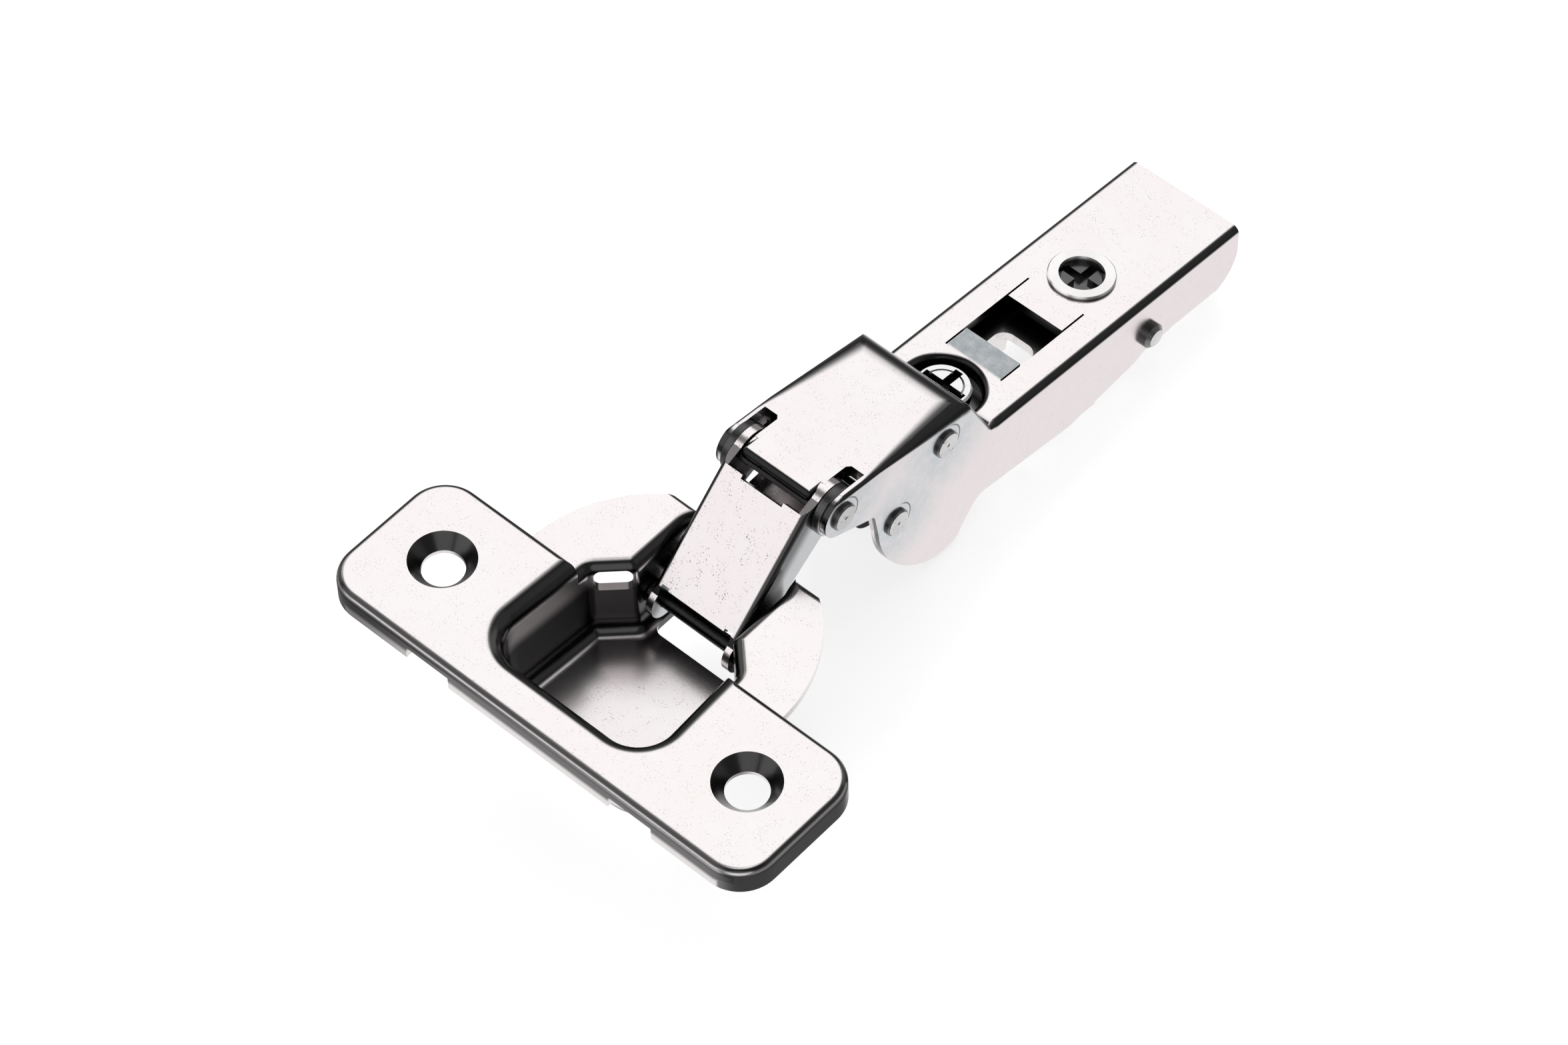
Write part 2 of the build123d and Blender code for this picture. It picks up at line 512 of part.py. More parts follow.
def side_hole_cutter():
    """Round hole of the side screw with its rolled lip."""
    lip, low, high = SIDE_HOLE_LIP, ARM_PLANE - 2 * ARM_T, ARM_PLANE + ARM_T / 2
    lip_mid = (SIDE_HOLE_R + lip * 0.293, ARM_PLANE - lip * 0.293)
    profile = make_face([Polyline((SIDE_HOLE_R + lip, ARM_PLANE), (SIDE_HOLE_R + lip, high), (0, high), (0, low),
                                  (SIDE_HOLE_R, low), (SIDE_HOLE_R, ARM_PLANE - lip)),
                         ThreePointArc((SIDE_HOLE_R, ARM_PLANE - lip), lip_mid, (SIDE_HOLE_R + lip, ARM_PLANE))])
    return Pos(0, SIDE_SCREW_U, 0) * revolve(Plane.XZ * profile, Axis.Z)


def fold_cutter(u0, v0, r0, u1, v1, r1):
    """Cutter that rounds the right fold below a top face from (u0, v0) to (u1, v1)."""
    sections = []
    for u, v, r in ((u0, v0, r0), (u1, v1, r1)):
        low, side = (ARM_HALF, v - r), (ARM_HALF - r, v)
        mid = (ARM_HALF - r * 0.2929, v - r * 0.2929)
        out = ARM_HALF + ARM_T / 2
        edges = [ThreePointArc(side, mid, low), Polyline(low, (out, v - r), (out, v + ARM_T / 4),
                                                         (ARM_HALF - r, v + ARM_T / 4), side)]
        sections.append(Plane(origin=(0, u, 0), x_dir=(1, 0, 0), z_dir=(0, -1, 0)) * make_face(edges))
    return loft(sections, ruled=True)


def arm():
    outer = slab(arm_side(), -ARM_HALF, ARM_HALF)
    folds = [e for e in outer.edges() if abs(abs(e.center().X) - ARM_HALF) < 0.01
             and e.center().Z > roof_height(e.center().Y) - ARM_T / 3 and TONGUE_R < e.center().Y < ARM_LENGTH - TONGUE_R]
    outer = fillet(folds, FACE_FOLD_R)
    slope = HUMP_FALL / HUMP_END
    roof_end = HUMP_FOOT
    outer -= both_sides(fold_cutter(FOLD_START, HUMP_TOP - slope * FOLD_START, FOLD_FRONT_R,
                                    roof_end, HUMP_TOP - slope * roof_end, FOLD_REAR_R))
    rear_start = HUMP_FOOT + FOOT_R
    outer -= both_sides(fold_cutter(HUMP_FOOT, ARM_PLANE, FACE_FOLD_R, rear_start, ARM_PLANE, ARM_FOLD_R))
    outer -= both_sides(fold_cutter(rear_start, ARM_PLANE, ARM_FOLD_R, ARM_LENGTH + ARM_T, ARM_PLANE, ARM_FOLD_R))
    inner = ARM_HALF - ARM_T
    under = mitred(ROOF, ARM_T)
    start, end = (-FAR, under[0][1]), (ARM_LENGTH + FAR, under[-1][1])
    ceiling = FilletPolyline(start, under[1], under[2], end, radius=[HUMP_R - ARM_T, FOOT_R + ARM_T])
    inside = side_face([ceiling, Polyline(end, (end[0], -FAR), (start[0], -FAR), start)])
    body = outer - slab(inside, -inner, inner)
    tongue = box(-TONGUE_HALF, TONGUE_HALF, -TONGUE_FRONT, TONGUE_R, under[0][1], HUMP_TOP)
    tongue = fillet(tongue.edges().filter_by(Axis.X).group_by(Axis.Y)[0].group_by(Axis.Z)[-1], ARM_T * 0.7)
    body += fillet(tongue.edges().filter_by(Axis.Z).group_by(Axis.Y)[0], TONGUE_R)
    ear_in = ARM_HALF - EAR_T
    slot_plan = [(TONGUE_HALF, -FAR), (ear_in, -FAR), (ear_in, EAR_SLOT_REAR), (TONGUE_ROOT_HALF, EAR_SLOT_REAR),
                 (TONGUE_HALF, EAR_SLOT_REAR - SIDE_HOLE_LIP / 2)]
    slot = extrude(Pos(0, 0, HUMP_TOP / 6) * make_face(Polyline(*slot_plan, close=True)), amount=2 * HUMP_TOP)
    body -= both_sides(slot)
    body -= both_sides(cross_pin((0, 0), LINK_EAR_R + EAR_T / 2, inner - SIDE_GAP, ear_in))

    window_z = (ARM_PLANE - 2 * ARM_T, ARM_PLANE + ARM_T)
    body -= box(-WINDOW_HALF, WINDOW_HALF, LIP_FRONT, LIP_REAR, *window_z)
    body -= both_sides(box(WINDOW_HALF, WINDOW_HALF + SLIT_W, SLIT_FRONT, SLIT_REAR, *window_z))
    collar = column((0, SIDE_SCREW_U), SIDE_HOLE_R + SIDE_HOLE_LIP, ARM_PLANE - ARM_T - SIDE_COLLAR,
                    ARM_PLANE - ARM_T / 2)
    body += collar
    body -= side_hole_cutter()
    body -= column((0, CAM_U), CAM_BODY_R + CAM_BODY_GAP, *window_z)
    for front, rear in LUGS:
        low = skirt_height((front + rear) / 2)
        body += both_sides(box(inner, ARM_HALF - LUG_IN, front, rear, low - LUG_H, low + ARM_T))
    holes = (((0, 0), RIVET_R), ((ARM_REAR_U, ARM_REAR_V), INNER_RIVET_R), (SPRING_RIVET, RIVET_R),
             (REAR_PIN, REAR_PIN_R))
    for centre, radius in holes:
        body -= cross_pin(centre, radius + SEAT_GAP, -FAR, FAR)
    return ARM_PLACE * body


def chain_height(points, u):
    for (u0, v0), (u1, v1) in zip(points, points[1:]):
        if u0 <= u <= u1:
            return v0 + (v1 - v0) * (u - u0) / (u1 - u0)
    return points[-1][1]


def roof_height(u):
    return chain_height(ROOF, u)


def skirt_height(u):
    return chain_height([SKIRT_FRONT, SKIRT_LOW, SKIRT_REAR, SKIRT_END, TAIL_LOW], u)


def rivet(centre, shank_r, head_r, head_h):
    """Rivet through both walls of the arm, with a flat domed head each side."""
    body = cross_pin(centre, shank_r, -ARM_HALF, ARM_HALF)
    head = cross_pin(centre, head_r, ARM_HALF, ARM_HALF + head_h)
    head = chamfer(head.edges().group_by(Axis.X)[-1], 0.4 * head_h)
    return ARM_PLACE * (body + both_sides(head))


# ---- closing spring -------------------------------------------------------------------
def closing_spring():
    """Leaf wrapped round its rivet: one leg under the roof, one on the inner link's cam."""
    u, v = SPRING_RIVET
    mean = RIVET_R + SPRING_GAP + SPRING_T / 2
    roof = roof_height(u - SPRING_LEG) - ARM_T - SPRING_GAP - SPRING_T
    cam_top = ARM_REAR_V + CAM_R + SPRING_CAM_GAP + SPRING_T / 2
    top = (u - mean * 0.5, v + mean * 0.866)
    low = (u - mean * 0.5, v - mean * 0.866)
    wrap = ThreePointArc(top, (u + mean, v), low)
    upper = Line(top, (u - SPRING_LEG, roof))
    lower = Line(low, (ARM_REAR_U + SPRING_TIP, cam_top))
    strip = trace(upper + wrap + lower, line_width=SPRING_T)
    return ARM_PLACE * slab(Plane.YZ * strip, -SPRING_W / 2, SPRING_W / 2)


# ---- carriage -------------------------------------------------------------------------
def carriage():
    plate_low = CARRIAGE_TOP - CARRIAGE_T
    inner = CARRIAGE_HALF - CARRIAGE_T
    body = box(-CARRIAGE_HALF, CARRIAGE_HALF, CARRIAGE_FRONT, CARRIAGE_REAR, CARRIAGE_EDGE, CARRIAGE_TOP)
    body = fillet(body.edges().filter_by(Axis.Y).group_by(Axis.Z)[-1], ARM_FOLD_R)
    body -= box(-inner, inner, -FAR, FAR, -FAR, plate_low)
    root = CARRIAGE_EDGE + CARRIAGE_T
    hook = polygon_face([(CARRIAGE_FRONT, root), (CARRIAGE_FRONT, HOOK_TIP + HOOK_NOSE),
                         (CARRIAGE_FRONT + HOOK_NOSE, HOOK_TIP), (HOOK_REAR - HOOK_BEVEL, HOOK_TIP),
                         (HOOK_REAR, HOOK_TIP + HOOK_BEVEL), (HOOK_REAR, root)])
    cheek = slab(hook, inner, CARRIAGE_HALF)
    cheek -= cross_pin(HOOK_MOUTH, HOOK_MOUTH_R, 0, ARM_HALF)
    cheek -= box(0, ARM_HALF, HOOK_MOUTH[0], FAR, HOOK_MOUTH[1] - HOOK_MOUTH_R, HOOK_MOUTH[1] + HOOK_MOUTH_R)
    for front, rear in FEET:
        foot = polygon_face([(front, root), (front + FOOT_BEVEL, FOOT_TIP), (rear - FOOT_BEVEL, FOOT_TIP),
                             (rear, root)])
        cheek += slab(foot, inner, CARRIAGE_HALF)
    body += both_sides(cheek)
    reach = BLOCK_HALF_U + CARRIAGE_TRAVEL + BLOCK_GAP
    rise = BLOCK_HALF_V + BLOCK_GAP
    u, v = REAR_PIN
    body -= both_sides(box(inner - BLOCK_GAP, ARM_HALF, u - reach, u + reach, v - rise, v + rise))
    slot_mid = (CARRIAGE_SLOT_FRONT + CARRIAGE_SLOT_REAR) / 2
    sheet = Pos(0, 0, plate_low - CARRIAGE_T)
    slot_plan = RectangleRounded(2 * CARRIAGE_SLOT_HALF, CARRIAGE_SLOT_REAR - CARRIAGE_SLOT_FRONT, CARRIAGE_SLOT_R)
    body -= sheet * extrude(Pos(0, slot_mid) * slot_plan, amount=3 * CARRIAGE_T)
    cam_plan = SlotOverall(2 * (CAM_THROW + CAM_PIN_R + 2 * CAM_BODY_GAP), 2 * (CAM_PIN_R + CAM_BODY_GAP))
    body -= sheet * extrude(Pos(0, CAM_U) * cam_plan, amount=3 * CARRIAGE_T)
    body -= column((0, SIDE_SCREW_U), BUSH_R + SEAT_GAP, plate_low - CARRIAGE_T, CARRIAGE_TOP + CARRIAGE_T)
    body -= cross_pin(LEVER_PIVOT, LEVER_PIN_R + SEAT_GAP, -ARM_HALF, ARM_HALF)
    return ARM_PLACE * body


def slide_block(side):
    u, v = REAR_PIN
    inner = CARRIAGE_HALF - CARRIAGE_T
    block = box(inner, CARRIAGE_HALF, u - BLOCK_HALF_U, u + BLOCK_HALF_U, v - BLOCK_HALF_V, v + BLOCK_HALF_V)
    block = chamfer(block.edges().filter_by(Axis.X), BLOCK_HALF_V / 4)
    block -= cross_pin(REAR_PIN, REAR_PIN_R + PIN_GAP, 0, ARM_HALF)
    return ARM_PLACE * (block if side > 0 else mirror(block, about=Plane.YZ))


# ---- adjusters ------------------------------------------------------------------------
def side_adjust_bush():
    plate_low = CARRIAGE_TOP - CARRIAGE_T
    at = (0, SIDE_SCREW_U)
    bush = column(at, BUSH_R, BUSH_END, CARRIAGE_TOP)
    bush += column(at, BUSH_FLANGE_R, plate_low - BUSH_FLANGE_H, plate_low - SEAT_GAP)
    bush -= column(at, SIDE_SHANK_R + PIN_GAP, -FAR, FAR)
    return ARM_PLACE * bush


def cross_recess(centre, top, reach):
    """Cutter of a cross recess, reach from tip to tip."""
    bars = Box(reach, RECESS_W, RECESS_DEPTH) + Box(RECESS_W, reach, RECESS_DEPTH)
    return Pos(*centre, top - RECESS_DEPTH / 2) * bars


def side_adjust_screw():
    at = (0, SIDE_SCREW_U)
    head_low = SIDE_HEAD_TOP - SIDE_HEAD_H
    screw = column(at, SIDE_HEAD_R, head_low, SIDE_HEAD_TOP)
    screw = chamfer(screw.edges().group_by(Axis.Z)[-1], RING_W)
    screw += column(at, SIDE_SHANK_R, SIDE_SCREW_END, head_low)
    screw = chamfer(screw.edges().group_by(Axis.Z)[0], 2 * RING_W)
    ring = column(at, SIDE_HEAD_R - RING_OUT, SIDE_HEAD_TOP - RING_DEPTH, SIDE_HEAD_TOP + RING_DEPTH)
    ring -= column(at, SIDE_HEAD_R - RING_OUT - RING_W, SIDE_HEAD_TOP - RING_DEPTH, SIDE_HEAD_TOP + RING_DEPTH)
    return ARM_PLACE * (screw - ring - cross_recess(at, SIDE_HEAD_TOP, SIDE_RECESS))


def depth_cam():
    at = (0, CAM_U)
    top = ARM_PLANE + CAM_FLANGE_H
    low = ARM_PLANE - ARM_T - CAM_STEP
    cam = column(at, CAM_FLANGE_R, ARM_PLANE + SEAT_GAP, top)
    cam = chamfer(cam.edges().group_by(Axis.Z)[-1], CAM_FLANGE_H / 4)
    cam += column(at, CAM_BODY_R, low, ARM_PLANE + CAM_BODY_GAP)
    cam += column((CAM_THROW, CAM_U), CAM_PIN_R, CARRIAGE_TOP - CARRIAGE_T - CAM_PIN_END, low)
    cam -= Pos(*at, top - CAM_DISH / 2) * Cone(CAM_RECESS_R - CAM_DISH_SLOPE, CAM_RECESS_R, CAM_DISH)
    return ARM_PLACE * (cam - cross_recess(at, top, 2 * (CAM_RECESS_R - CAM_DISH_SLOPE)))


# ---- clip lever -----------------------------------------------------------------------
def clip_lever():
    u, v = LEVER_PIVOT
    tab_front = LEVER_TAB_U - LEVER_T
    heel = v - 1.22 * LEVER_T
    side = polygon_face([(u - 5.4 * LEVER_T, CLAW_TIP), (u - 3.2 * LEVER_T, CLAW_TIP + 0.3 * LEVER_T),
                         (u - 1.5 * LEVER_T, v - 2.6 * LEVER_T), (u + 4.5 * LEVER_T, v - 2.2 * LEVER_T),
                         (LEVER_TAB_U, heel), (LEVER_TAB_U, v + 1.4 * LEVER_T), (u - 2.4 * LEVER_T, v + 1.5 * LEVER_T),
                         (u - 4.6 * LEVER_T, v - 2.8 * LEVER_T), (u - 5.4 * LEVER_T, CLAW_TIP + 1.6 * LEVER_T)])
    body = slab(side, -LEVER_HALF, LEVER_HALF)
    body += box(-LEVER_HALF, LEVER_HALF, tab_front, LEVER_TAB_U, v - LEVER_T, LEVER_TAB_TOP)
    inner = LEVER_HALF - LEVER_T
    body -= box(-inner, inner, -FAR, tab_front, -FAR, 0)
    body = fillet(body.edges().filter_by(Axis.Z).group_by(Axis.Y)[-1], LEVER_CORNER_R)
    body -= cross_pin(LEVER_PIVOT, LEVER_PIN_R + PIN_GAP, -LEVER_HALF, LEVER_HALF)
    return ARM_PLACE * body


def clip_pin():
    pin = cross_pin(LEVER_PIVOT, LEVER_PIN_R, -CARRIAGE_HALF, CARRIAGE_HALF)
    return ARM_PLACE * chamfer(pin.edges().filter_by(GeomType.CIRCLE), PIN_END_CHAMFER)


def clip_spring():
    """Wire spring round the lever's pin, one leg under the carriage, one on the lever."""
    u, v = LEVER_PIVOT
    mean = LEVER_PIN_R + WIRE_GAP + WIRE / 2
    top = CARRIAGE_TOP - CARRIAGE_T - WIRE_GAP - WIRE / 2
    ring = ThreePointArc((u - mean, v), (u, v - mean), (u + mean, v))
    front = Line((u - mean, v), (u - mean - WIRE_LEG, top))
    rear = Line((u + mean, v), (LEVER_TAB_U - LEVER_T - WIRE, v - WIRE))
    strip = trace(front + ring + rear, line_width=WIRE)
    return ARM_PLACE * slab(Plane.YZ * strip, -WIRE_HALF, WIRE_HALF)


# ---- sub-parts ------------------------------------------------------------------------
save(cup(), "cup")
save(cup_pin(OUTER_PIVOT, PIN_R), "cup_pin_outer")
save(cup_pin(INNER_PIVOT, INNER_PIN_R), "cup_pin_inner")
save(outer_link(), "outer_link")
save(inner_link(), "inner_link")
save(arm(), "arm")
save(rivet((0, 0), RIVET_R, RIVET_HEAD_R, RIVET_HEAD_H), "front_rivet")
save(rivet((ARM_REAR_U, ARM_REAR_V), INNER_RIVET_R, RIVET_HEAD_R, RIVET_HEAD_H), "inner_rivet")
save(rivet(SPRING_RIVET, RIVET_R, RIVET_HEAD_R, RIVET_HEAD_H), "spring_rivet")
save(rivet(REAR_PIN, REAR_PIN_R, REAR_PIN_HEAD_R, REAR_PIN_HEAD_H), "rear_pin")
for side, word in ((-1, "left"), (1, "right")):
    low, high = sorted((side * (LINK_HALF + SIDE_GAP), side * (CHANNEL_HALF - SIDE_GAP)))
    save(washer(OUTER_PIVOT, PIN_R + PIN_GAP, CUP_WASHER_R, low, high), f"cup_washer_{word}")
    low, high = sorted((side * (LINK_HALF + SIDE_GAP), side * (ARM_HALF - EAR_T - SIDE_GAP)))
    save(washer(ARM_FRONT_PIVOT, RIVET_R + PIN_GAP, LINK_EAR_R, low, high), f"arm_washer_{word}")
    save(slide_block(side), f"slide_block_{word}")
save(closing_spring(), "closing_spring")
save(carriage(), "carriage")
save(side_adjust_bush(), "side_adjust_bush")
save(side_adjust_screw(), "side_adjust_screw")
save(depth_cam(), "depth_cam")
save(clip_lever(), "clip_lever")
save(clip_pin(), "clip_pin")
save(clip_spring(), "clip_spring")
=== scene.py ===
import json
from math import cos, radians, sin

import bmesh
import bpy
from mathutils import Matrix, Vector


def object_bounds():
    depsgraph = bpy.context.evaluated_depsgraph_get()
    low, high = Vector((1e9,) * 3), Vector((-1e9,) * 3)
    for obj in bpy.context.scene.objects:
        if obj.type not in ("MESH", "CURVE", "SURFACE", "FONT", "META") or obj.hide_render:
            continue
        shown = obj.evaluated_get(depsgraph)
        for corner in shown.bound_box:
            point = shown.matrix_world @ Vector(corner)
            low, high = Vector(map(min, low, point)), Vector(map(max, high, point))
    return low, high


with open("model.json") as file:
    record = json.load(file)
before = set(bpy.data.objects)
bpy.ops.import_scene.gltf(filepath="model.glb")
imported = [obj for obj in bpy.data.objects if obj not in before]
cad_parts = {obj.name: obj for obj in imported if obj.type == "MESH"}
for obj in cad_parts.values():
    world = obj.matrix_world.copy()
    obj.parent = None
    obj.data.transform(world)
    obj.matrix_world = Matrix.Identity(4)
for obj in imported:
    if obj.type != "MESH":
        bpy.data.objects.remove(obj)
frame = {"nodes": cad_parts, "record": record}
cad_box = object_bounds()
NODES = frame["nodes"]
MM = 0.001


# ---- shader maths ---------------------------------------------------------------------
class Value:
    """A socket that can be used in a Python expression."""

    def __init__(self, graph, socket):
        self.graph = graph
        self.socket = socket

    def math(self, operation, a, b=0.0):
        return self.graph.node("ShaderNodeMath", {"operation": operation}, {0: a, 1: b})

    def vector_math(self, operation, other, output):
        return self.graph.node("ShaderNodeVectorMath", {"operation": operation},
                               {0: self, 1: other}, output)

    def __add__(self, other):
        return self.math("ADD", self, other)

    def __radd__(self, other):
        return self.math("ADD", other, self)

    def __sub__(self, other):
        return self.math("SUBTRACT", self, other)

    def __rsub__(self, other):
        return self.math("SUBTRACT", other, self)

    def __mul__(self, other):
        return self.math("MULTIPLY", self, other)

    def __rmul__(self, other):
        return self.math("MULTIPLY", other, self)

    def __truediv__(self, other):
        return self.math("DIVIDE", self, other)

    def __abs__(self):
        return self.math("ABSOLUTE", self)

    def most(self, other):
        return self.math("MAXIMUM", self, other)

    def smooth(self, low, high):
        """0 at low, 1 at high, with a soft start and end."""
        return self.graph.node("ShaderNodeMapRange", {"interpolation_type": "SMOOTHSTEP"},
                               {"Value": self, "From Min": low, "From Max": high})

    def rises(self, start, end):
        """0 before start and 1 after end, both in millimetres."""
        return self.smooth(start * MM, end * MM)

    def falls(self, start, end):
        """1 before start and 0 after end."""
        return 1 - self.rises(start, end)

    def part(self, axis):
        """One component of a vector."""
        return self.graph.node("ShaderNodeSeparateXYZ", {}, {0: self}, axis)

    def dot(self, other):
        return self.vector_math("DOT_PRODUCT", other, "Value")

    def distance(self, other):
        return self.vector_math("DISTANCE", other, "Value")


def strongest(masks):
    """The highest of several masks."""
    top, *others = masks
    for mask in others:
        top = top.most(mask)
    return top


class Graph:
    """A node tree and the one way nodes are added to it."""

    def __init__(self, tree):
        self.nodes = tree.nodes
        self.links = tree.links

    def node(self, kind, settings=None, inputs=None, output=0):
        made = self.nodes.new(kind)
        for name, value in (settings or {}).items():
            setattr(made, name, value)
        for name, value in (inputs or {}).items():
            self.feed(made.inputs[name], value)
        return Value(self, made.outputs[output])

    def feed(self, socket, value):
        if isinstance(value, Value):
            self.links.new(value.socket, socket)
        else:
            socket.default_value = value

    def blend(self, factor, low, high):
        """A colour between two."""
        return self.node("ShaderNodeMix", {"data_type": "RGBA"}, {0: factor, 6: low, 7: high}, 2)


class Finish(Graph):
    """A material that knows where its surface lies and where it faces in the hinge's own frame."""

    def __init__(self, name, **constants):
        self.material = bpy.data.materials.new(name)
        self.material.use_nodes = True
        super().__init__(self.material.node_tree)
        self.shader = self.nodes["Principled BSDF"]
        for socket, value in constants.items():
            self.shader.inputs[socket.replace("_", " ")].default_value = value
        self.place = self.node("ShaderNodeTexCoord", output="Object")
        self.normal = self.node("ShaderNodeTexCoord", output="Normal")

    def noise(self, size, detail=2.0, roughness=0.5):
        """Noise whose lumps are about size millimetres across."""
        return self.node("ShaderNodeTexNoise", {},
                         {"Vector": self.place, "Scale": 1.0 / (size * MM),
                          "Detail": detail, "Roughness": roughness})

    def facing(self, axis):
        """How squarely the surface faces along an axis, 0 to 1."""
        return abs(self.normal.part(axis))

    def bends(self, axis):
        """1 on folds and sloping walls, 0 on faces square to the axis or along it."""
        squarely = self.facing(axis)
        return squarely.smooth(0.05, 0.35) * (1 - squarely.smooth(0.9, 0.985))

    def beside(self, y, z):
        """Distance from a rivet's axis."""
        spot = self.node("ShaderNodeCombineXYZ", {},
                         {"X": self.place.part("X"), "Y": y * MM, "Z": z * MM})
        return self.place.distance(spot)

    def from_pivot(self):
        """The way from the arm's front pivot, along the sloping arm and square to it."""
        tilt = radians(ARM_TILT)
        y = self.place.part("Y") - PIVOT[0] * MM
        z = self.place.part("Z") - PIVOT[1] * MM
        return cos(tilt) * y - sin(tilt) * z, cos(tilt) * z + sin(tilt) * y

    def seal(self, colour, height):
        """Puts the colour and the height map, in metres, on the surface."""
        self.feed(self.shader.inputs["Base Color"], colour)
        relief = self.node("ShaderNodeBump", {}, {"Height": height, "Distance": MM})
        self.feed(self.shader.inputs["Normal"], relief)
        return self.material


# ---- colours --------------------------------------------------------------------------
NICKEL = (0.83, 0.8, 0.8, 1)
NICKEL_ROSE = (0.84, 0.79, 0.79, 1)
NICKEL_COOL = (0.56, 0.6, 0.625, 1)
LINK_NICKEL = (0.85, 0.8, 0.805, 1)
LINK_ROSE = (0.86, 0.79, 0.795, 1)
# a painted reflection tint on faces that look sideways
SIDE_PAINTED_ROSE = (0.84, 0.74, 0.75, 1)
# painted shade, blue-grey, on the arm's sloping front lip
LIP_PAINTED_SHADE = (0.28, 0.31, 0.325, 1)
PEENED = (0.74, 0.73, 0.73, 1)
PEENED_DULL = (0.62, 0.61, 0.61, 1)
ZINC = (0.82, 0.82, 0.82, 1)
ZINC_COOL = (0.76, 0.76, 0.77, 1)
CASTING = (0.84, 0.82, 0.82, 1)
CASTING_DULL = (0.78, 0.76, 0.76, 1)
BLUED = (0.16, 0.17, 0.2, 1)
BLUED_DEEP = (0.1, 0.11, 0.13, 1)
STAIN = (0.3, 0.28, 0.28, 1)
PAINTED_DARK = (0.04, 0.04, 0.041, 1)      # painted shade and painted dark reflection, put into the plate's colour on folds, walls, edges and recesses
SHADED = (0.03, 0.03, 0.03, 1)      # painted shade, near black, deep between the sheets
PAPER = (0.6, 0.6, 0.6, 1)
WHITE = (1, 1, 1, 1)

# ---- measures in millimetres; a pair is where a mark starts and where it ends ---------
PIVOT = (22.2, 6.3)                                 # the arm's front pivot (y, z)
HEADS = (PIVOT, (31.0, -3.4), (39.4, 2.65))         # rivet heads on the arm's sides (y, z)
ARM_HALF = 8.1                                      # half the arm's width
ARM_TILT = 6.44                                     # the arm's slope, in degrees

# plate
CLOUD, PIT_PATCH, GRAIN = 7, 1.7, 0.16              # lumps of the tint, pitted patches, orange peel
MOTTLE = 1.6                                        # lumps of the stain round the rivets

# the cup's pressing
POCKET_MIDDLE = (0, -4 * MM, 0)
INTO_POCKET = (0, 1.5)              # how far a surface looks towards that middle
POCKET_SHADE = (-3, -0.6)           # z: full below, none above
FLOOR_CORNER = (-5, 12)             # y - 0.7 x: towards the floor's back corner
RIM_FRONT = (-19.2, -18.9)          # y: the wing plate's front edge
RIM_END = (30.2, 30.5)              # |x|: its two ends
RIM_CORNER = (47.2, 47.6)           # |x| - y: its two front corners
RIM_SIDE = (0.7, 1.6)               # z: the upper part of its front side

# the arm's pressing
HEAD_STAIN = (1.5, 11)              # from a rivet's axis: the cool stain fades out
COIN_INNER = (2.3, 2.4)             # the painted shade on a coined ring's edge round a head, inside and outside
COIN_OUTER = (2.5, 2.6)
COIN_START = (0.6, 1.6)             # y: it shows only this far behind the rivet
LIP_START = (32.2, 32.7)            # along the arm: the lip in front of the window
LIP_END = (36, 36.5)
LIP_SIDE = (3.9, 4.1)               # |x|
ROOF_FRONT = 26.6                   # y: front end of the folds beside the roof
FOLD_AT_FRONT = 0.35                # a fold's width there
FOLD_GROWTH = 0.0965                # its growth per millimetre to the rear
FOLD_LEAST = 0.25
ROOF_END = (44, 47)                 # y: the folds end behind the roof
CREST_START = (40.5, 42.7)          # y: the roof rolls down at the rear
CREST_END = (46.5, 48.5)
ARM_INNER = (7.1, 7.5)              # |x|: inner faces of the arm's walls
TONGUE_SIDE = (6.2, 6.5)            # |x|: sides of the front tongue

# links and rivets
LINK_INNER = (4.6, 5.2)             # |x|: inner faces of the outer link's cheeks
PLATE_WAY = (0, -0.69, 0.724)       # the way the outer link's plate faces
UNDER_PLATE = (0.63, 2.73)          # along it from the pivot: the plate's shade on the cheeks
SHANK_END = (5.5, 6.5)              # |x|: where a shank goes over into its head
PUNCH_MARK = (0.18, 0.3)            # from a rivet's axis

# screw and cam
SCREW_TOP, CAM_TOP = -5.4, -5.1     # their faces over the arm's line
RECESS = (0.45, 0.12)               # depth in a cross recess: dark, no longer dark


# ---- finishes -------------------------------------------------------------------------
def plated(name, bright=NICKEL, other=NICKEL_ROSE, rough=0.19, pits=0.45, pit_size=0.16,
           peel=0.004):
    """Nickel plate over pressed steel: faint clouds of tint, small dark pits, a fine orange peel.

    Gives the finish, its colour and its height map, for a piece's own marks to build on."""
    finish = Finish(name, Metallic=1.0)
    clouds = finish.noise(CLOUD, 3.0)
    patches = finish.noise(PIT_PATCH).smooth(0.4, 0.6)
    spots = finish.noise(pit_size, 0.0).smooth(0.66, 0.78) * patches
    grain = finish.noise(GRAIN, 2.0, 0.7)
    pit_depth, grain_stain, cloud_rough = 0.002, 0.08, 0.03
    colour = finish.blend(clouds.smooth(0.35, 0.65), bright, other)
    colour = finish.blend(pits * spots + grain_stain * grain, colour, STAIN)
    finish.feed(finish.shader.inputs["Roughness"], rough + cloud_rough * clouds.smooth(0.3, 0.7))
    return finish, colour, peel * grain - pit_depth * spots


